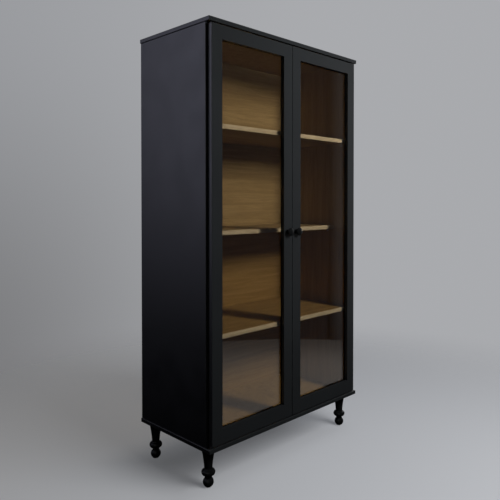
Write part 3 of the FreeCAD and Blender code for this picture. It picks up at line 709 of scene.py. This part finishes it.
def finish_piece(bm, name, body, stands_for, materials, crisp=35.0):
    """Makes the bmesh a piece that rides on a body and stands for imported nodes."""
    bmesh.ops.remove_doubles(bm, verts=bm.verts, dist=SAME_POINT)
    bmesh.ops.recalc_face_normals(bm, faces=bm.faces)
    mesh = bpy.data.meshes.new(name)
    bm.to_mesh(mesh)
    bm.free()
    for material in materials:
        mesh.materials.append(material)
    mesh.polygons.foreach_set("use_smooth", [True] * len(mesh.polygons))
    mesh.set_sharp_from_angle(angle=math.radians(crisp))
    piece = bpy.data.objects.new(name, mesh)
    bpy.context.scene.collection.objects.link(piece)
    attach(piece, body)
    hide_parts(*stands_for)
    print("%-26s %5d faces" % (name, len(mesh.polygons)))
    return piece


print("piece helper ready")

# %% [markdown]
# ## Bars and rounded edges
# Shelves, panes and beads all start as a squared bar. A maker then eases only some of
# the edges, so the rounding tool asks about each edge: where is its middle, and which
# way does it run?

# %% Helpers for squared pieces
def add_bar(bm, low, high):
    """Adds a squared bar between two corners, and returns its vertices."""
    low, high = Vector(low), Vector(high)
    verts = bmesh.ops.create_cube(bm, size=1.0)["verts"]
    bmesh.ops.scale(bm, vec=high - low, verts=verts)
    bmesh.ops.translate(bm, vec=(low + high) / 2, verts=verts)
    return verts


def round_edges(bm, verts, radius, wanted, segments=3):
    """Rounds the edges among verts for which wanted(middle, direction) is true."""
    chosen = []
    for edge in dict.fromkeys(e for v in verts for e in v.link_edges):
        start, end = edge.verts[0].co, edge.verts[1].co
        if wanted((start + end) / 2, (end - start).normalized()):
            chosen.append(edge)
    bmesh.ops.bevel(bm, geom=chosen, offset=radius, offset_type="OFFSET",
                    segments=segments, profile=0.5, affect="EDGES",
                    clamp_overlap=True, material=-1)


def close_to(a, b):
    """True when two places are the same but for rounding."""
    return abs(a - b) < SAME_FACE


print("bar helpers ready")

# %% [markdown]
# ## Drawing a turner's outline
# A leg and a knob are turned on a lathe, so each is one outline spun about its axis. The
# outline is drawn the way a pair of compasses draws it: a point is spun about the centre
# of each bow. Three points fix a bow: its centre is as far from each of them.

# %% Helpers for turned pieces
def bow(bm, point, through, end, steps):
    """Draws a bow from a vertex through one (radius, height) point to another."""
    ax, az = point.co.x, point.co.z
    bx, bz = through
    cx, cz = end
    double = 2 * (ax * (bz - cz) + bx * (cz - az) + cx * (az - bz))
    a2, b2, c2 = ax * ax + az * az, bx * bx + bz * bz, cx * cx + cz * cz
    mid_x = (a2 * (bz - cz) + b2 * (cz - az) + c2 * (az - bz)) / double
    mid_z = (a2 * (cx - bx) + b2 * (ax - cx) + c2 * (bx - ax)) / double
    full = 2 * math.pi
    start_at = math.atan2(az - mid_z, ax - mid_x)
    turn = (start_at - math.atan2(cz - mid_z, cx - mid_x)) % full
    via = (start_at - math.atan2(bz - mid_z, bx - mid_x)) % full
    if via > turn:
        turn -= full
    bmesh.ops.spin(bm, geom=[point], cent=(mid_x, 0, mid_z), axis=(0, 1, 0), angle=turn,
                   steps=steps, dvec=(0, 0, 0), use_merge=False)
    bm.verts.ensure_lookup_table()
    return bm.verts[-1]


def stroke(bm, point, end):
    """Draws a straight line from a vertex to a (radius, height) point."""
    vert = bm.verts.new((end[0], 0, end[1]))
    bm.edges.new((point, vert))
    return vert


def turn_outline(bm, outline, steps=64):
    """Draws an outline of strokes and bows in mm, and spins it about the Z axis."""
    radius, height = outline[0]
    point = bm.verts.new((radius * MM, 0, height * MM))
    for part in outline[1:]:
        if len(part) == 2:
            point = stroke(bm, point, (part[0] * MM, part[1] * MM))
        else:
            through, end, count = part
            point = bow(bm, point, tuple(v * MM for v in through),
                        tuple(v * MM for v in end), count)
    bmesh.ops.spin(bm, geom=bm.verts[:] + bm.edges[:], cent=(0, 0, 0), axis=(0, 0, 1),
                   angle=2 * math.pi, steps=steps, dvec=(0, 0, 0), use_merge=True)
    bmesh.ops.remove_doubles(bm, verts=bm.verts, dist=SAME_POINT)


print("turning helpers ready")

# %% [markdown]
# ## The legs
# Each leg tapers from a wide top to a thin waist, then swells into a round bead, a neck
# and a flattened ball. It is one piece of turned wood with a bolt let into its top.

# %% Turn the four legs
LEG_OUTLINE = [
    (0, 2.5), (13, 2.5), ((20.5, 17.75), (13.5, 33), 16), (13.5, 40),
    ((14.5, 42), (17.5, 43), 5), ((26, 54.5), (18.5, 66), 16),
    ((16.2, 67.5), (15.5, 71), 5), ((20, 112), (27, 147), 14), (0, 147),
]
for end in ("front", "rear"):
    for side in SIDES:
        node = end + "_" + side + "_leg"
        low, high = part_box(node)
        bm = bmesh.new()
        turn_outline(bm, LEG_OUTLINE)
        bmesh.ops.translate(bm, vec=((low.x + high.x) / 2, (low.y + high.y) / 2, 0),
                            verts=bm.verts)
        finish_piece(bm, "turned_" + node, "carcass", [node], [shade_darkened_lacquer])

# %% [markdown]
# ## The knobs
# A mushroom knob: a small foot on the door, a waist for the fingertips and a domed cap.
# It is turned upright and then laid over, so that its axis points out of the door.

# %% Turn the two knobs
KNOB_OUTLINE = [
    (0, 0), (9, 0), (9, 2), ((6.6, 4.2), (6, 7), 6), ((8.4, 11.2), (15, 13), 8),
    ((17, 16), (14.5, 19.2), 10), ((8.0, 22.65), (0.0, 24), 10),
]
for side in SIDES:
    node = side + "_door_knob"
    low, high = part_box(node)
    bm = bmesh.new()
    turn_outline(bm, KNOB_OUTLINE, steps=56)
    bmesh.ops.rotate(bm, cent=(0, 0, 0), matrix=Matrix.Rotation(math.pi / 2, 3, "X"),
                     verts=bm.verts)
    bmesh.ops.translate(bm, vec=((low.x + high.x) / 2, high.y, (low.z + high.z) / 2),
                        verts=bm.verts)
    finish_piece(bm, "turned_" + node, side + "_door", [node], [shade_darkened_lacquer])

# %% [markdown]
# ## The shelves
# Three veneered boards, each with its strip of solid oak along the front. The board is a
# squared block whose two front edges are eased, cut through just behind the front so
# that the strip can have its own wood.

# %% Make the three shelves
STRIP = 0.0022
EASED = 0.001
for name in ("lower_shelf", "middle_shelf", "upper_shelf"):
    low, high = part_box(name)
    bm = bmesh.new()
    verts = add_bar(bm, low, high)
    round_edges(bm, verts, EASED,
                lambda mid, way: close_to(mid.y, low.y) and abs(way.x) > 0.9)
    seam = low.y + STRIP
    bmesh.ops.bisect_plane(bm, geom=bm.verts[:] + bm.edges[:] + bm.faces[:], dist=SAME_POINT,
                           plane_co=(0, seam, 0), plane_no=(0, 1, 0))
    for face in bm.faces:
        face.material_index = 1 if face.calc_center_median().y < seam else 0
    finish_piece(bm, "edged_" + name, "carcass", [name], [oak, edging], crisp=20.0)

# %% [markdown]
# ## The panes
# Cut glass is never left sharp: each edge is ground to a narrow bevel.

# %% Cut the two panes
GROUND = 0.0005
panes = []
for side in SIDES:
    node = side + "_door_glass"
    bm = bmesh.new()
    verts = add_bar(bm, *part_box(node))
    round_edges(bm, verts, GROUND, lambda mid, way: True, segments=1)
    pane = finish_piece(bm, side + "_door_pane", side + "_door", [node], [glass], crisp=20.0)
    panes.append(pane)

# %% [markdown]
# ## What each light reaches
# A stage hand flags a light with a card so that it misses one thing. Light linking is
# the same: a collection lists what a light reaches, or what it leaves out. The paper has
# a light of its own, the left light misses the panes, and only the panes mirror the two
# sheets.

# %% Flag the lights
def reached(name, members, left_out=False):
    """A collection of what a light reaches, or of what it leaves out."""
    group = bpy.data.collections.new(name)
    for member in members:
        group.objects.link(member)
    if left_out:
        for entry in group.collection_objects:
            entry.light_linking.link_state = "EXCLUDE"
    return group


the_floor = reached("the_floor", [floor])
all_but_floor = reached("all_but_floor", [floor], left_out=True)
the_panes = reached("the_panes", panes)
paper_light.light_linking.receiver_collection = the_floor
for light in sheen_lights + [key_light, fill_light, back_light, right_light]:
    light.light_linking.receiver_collection = all_but_floor
left_light.light_linking.receiver_collection = reached(
    "all_but_floor_and_glass", [floor] + panes, left_out=True)
for sheet in (mirror_sheet, far_wall):
    sheet.light_linking.receiver_collection = the_panes
print("light groups:", [group.name for group in bpy.data.collections])

# %% [markdown]
# ## The glazing beads
# Thin strips hold each pane in its rebate from behind. They are moulded with a
# quarter-round on the edge beside the glass, and the level ones fit between the uprights.

# %% Mould the beads
BEAD_W = 0.0079
BEAD_ROUND = 0.0022
for side in SIDES:
    for kind, axis in (("side", 0), ("end", 2)):
        node = side + "_door_" + kind + "_beads"
        low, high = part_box(node)
        bm = bmesh.new()
        for at_low_end in (True, False):
            corner, far = low.copy(), high.copy()
            if at_low_end:
                far[axis] = beside_glass = low[axis] + BEAD_W
            else:
                corner[axis] = beside_glass = high[axis] - BEAD_W
            verts = add_bar(bm, corner, far)
            round_edges(bm, verts, BEAD_ROUND,
                        lambda mid, way: close_to(mid[axis], beside_glass)
                        and close_to(mid.y, high.y), segments=5)
        finish_piece(bm, side + "_door_moulded_" + kind + "_beads", side + "_door", [node],
                     [lacquer], crisp=30.0)

# %% [markdown]
# ## The shelf supports
# Each shelf rests on four bent steel angles, and each angle hangs from a pin in the side
# panel. The angle starts as one leaf, drawn as an L, whose bend is rounded inside and
# out once it has its width. The pin is a rod with a softened tip, made upright at the
# origin, laid over and pushed into the panel.

# %% Bend the supports and set their pins
LEAF = 0.012
LEAF_T = 0.0015
LEAF_PROFILE = ((0, 0), (LEAF, 0), (LEAF, -LEAF_T), (LEAF_T, -LEAF_T), (LEAF_T, -LEAF),
                (0, -LEAF))
SOFTENED = 0.0006
PIN_R = 0.0025
PIN_DROP = 0.005
PIN_DEPTH = 0.009
NEAR_AXIS = 0.01
for name in ("lower_shelf", "middle_shelf", "upper_shelf"):
    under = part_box(name)[0].z
    low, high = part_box(name + "_supports")
    bm = bmesh.new()
    for s in SIDES.values():
        for y in (low.y + LEAF / 2, high.y - LEAF / 2):
            corners = [bm.verts.new((s * (side_inside - inwards), y - LEAF / 2, under + up))
                       for inwards, up in LEAF_PROFILE]
            swept = bmesh.ops.extrude_face_region(bm, geom=[bm.faces.new(corners)])["geom"]
            far = [v for v in swept if isinstance(v, bmesh.types.BMVert)]
            bmesh.ops.translate(bm, vec=(0, LEAF, 0), verts=far)
            round_edges(bm, corners + far, SOFTENED, lambda mid, way: abs(way.y) > 0.9)
            shank = bmesh.ops.create_cone(bm, cap_ends=True, segments=24, radius1=PIN_R,
                                          radius2=PIN_R, depth=PIN_DEPTH)["verts"]
            round_edges(bm, shank, SOFTENED,
                        lambda mid, way: mid.z > PIN_DEPTH / 2 - MM / 10, segments=2)
            # rounding made new vertices, so the pin is found again where it stands
            shank = [v for v in bm.verts
                     if abs(v.co.x) < NEAR_AXIS and abs(v.co.y) < NEAR_AXIS]
            bmesh.ops.rotate(bm, cent=(0, 0, 0), verts=shank,
                             matrix=Matrix.Rotation(s * math.pi / 2, 3, "Y"))
            bmesh.ops.translate(bm, vec=(s * (side_inside + PIN_DEPTH / 2), y,
                                         under - PIN_DROP), verts=shank)
    finish_piece(bm, "bent_" + name + "_supports", "carcass", [name + "_supports"],
                 [bright_steel])

# %% [markdown]
# ## The pivot washers
# A door turns on a nylon washer with softened rims. It is a ring's outline spun round
# its bore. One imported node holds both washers, so one piece holds both too, and each is
# turned on its own and then added.

# %% Turn the washers
def add_turned(bm, outline, place, steps=48):
    """Turns an outline, puts it in its place and adds it to a piece."""
    turned = bmesh.new()
    turn_outline(turned, outline, steps)
    bmesh.ops.translate(turned, vec=place, verts=turned.verts)
    spare = bpy.data.meshes.new("turned")
    turned.to_mesh(spare)
    turned.free()
    bm.from_mesh(spare)
    bpy.data.meshes.remove(spare)


low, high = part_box("pivot_washers")
WASHER_R, BORE_R, RIM = 7.0, 3.1, 0.6
WASHER_T = (high.z - low.z) / MM
RING_OUTLINE = [
    (BORE_R, RIM), (BORE_R + RIM / 2, 0), (WASHER_R - RIM, 0), (WASHER_R, RIM),
    (WASHER_R, WASHER_T - RIM), (WASHER_R - RIM, WASHER_T), (BORE_R + RIM / 2, WASHER_T),
    (BORE_R, WASHER_T - RIM), (BORE_R, RIM),
]
bm = bmesh.new()
for x in (low.x + WASHER_R * MM, high.x - WASHER_R * MM):
    add_turned(bm, RING_OUTLINE, (x, (low.y + high.y) / 2, low.z))
finish_piece(bm, "turned_pivot_washers", "carcass", ["pivot_washers"], [black_nylon])

# %% [markdown]
# ## The leg glides
# A nylon glide under each foot lets the cabinet slide on a floor. Its sole is slightly
# hollow, so that it only touches at its rim.

# %% Turn the glides
GLIDE_OUTLINE = [(0, 0.7), (6, 0.5), (9, 0), (11.2, 0), ((11.8, 0.3), (12, 0.9), 4),
                 (12, 2.5), (0, 2.5)]
bm = bmesh.new()
for end in ("front", "rear"):
    for side in SIDES:
        low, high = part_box(end + "_" + side + "_leg")
        add_turned(bm, GLIDE_OUTLINE, ((low.x + high.x) / 2, (low.y + high.y) / 2, 0))
finish_piece(bm, "turned_leg_glides", "carcass", ["leg_glides"], [nylon])
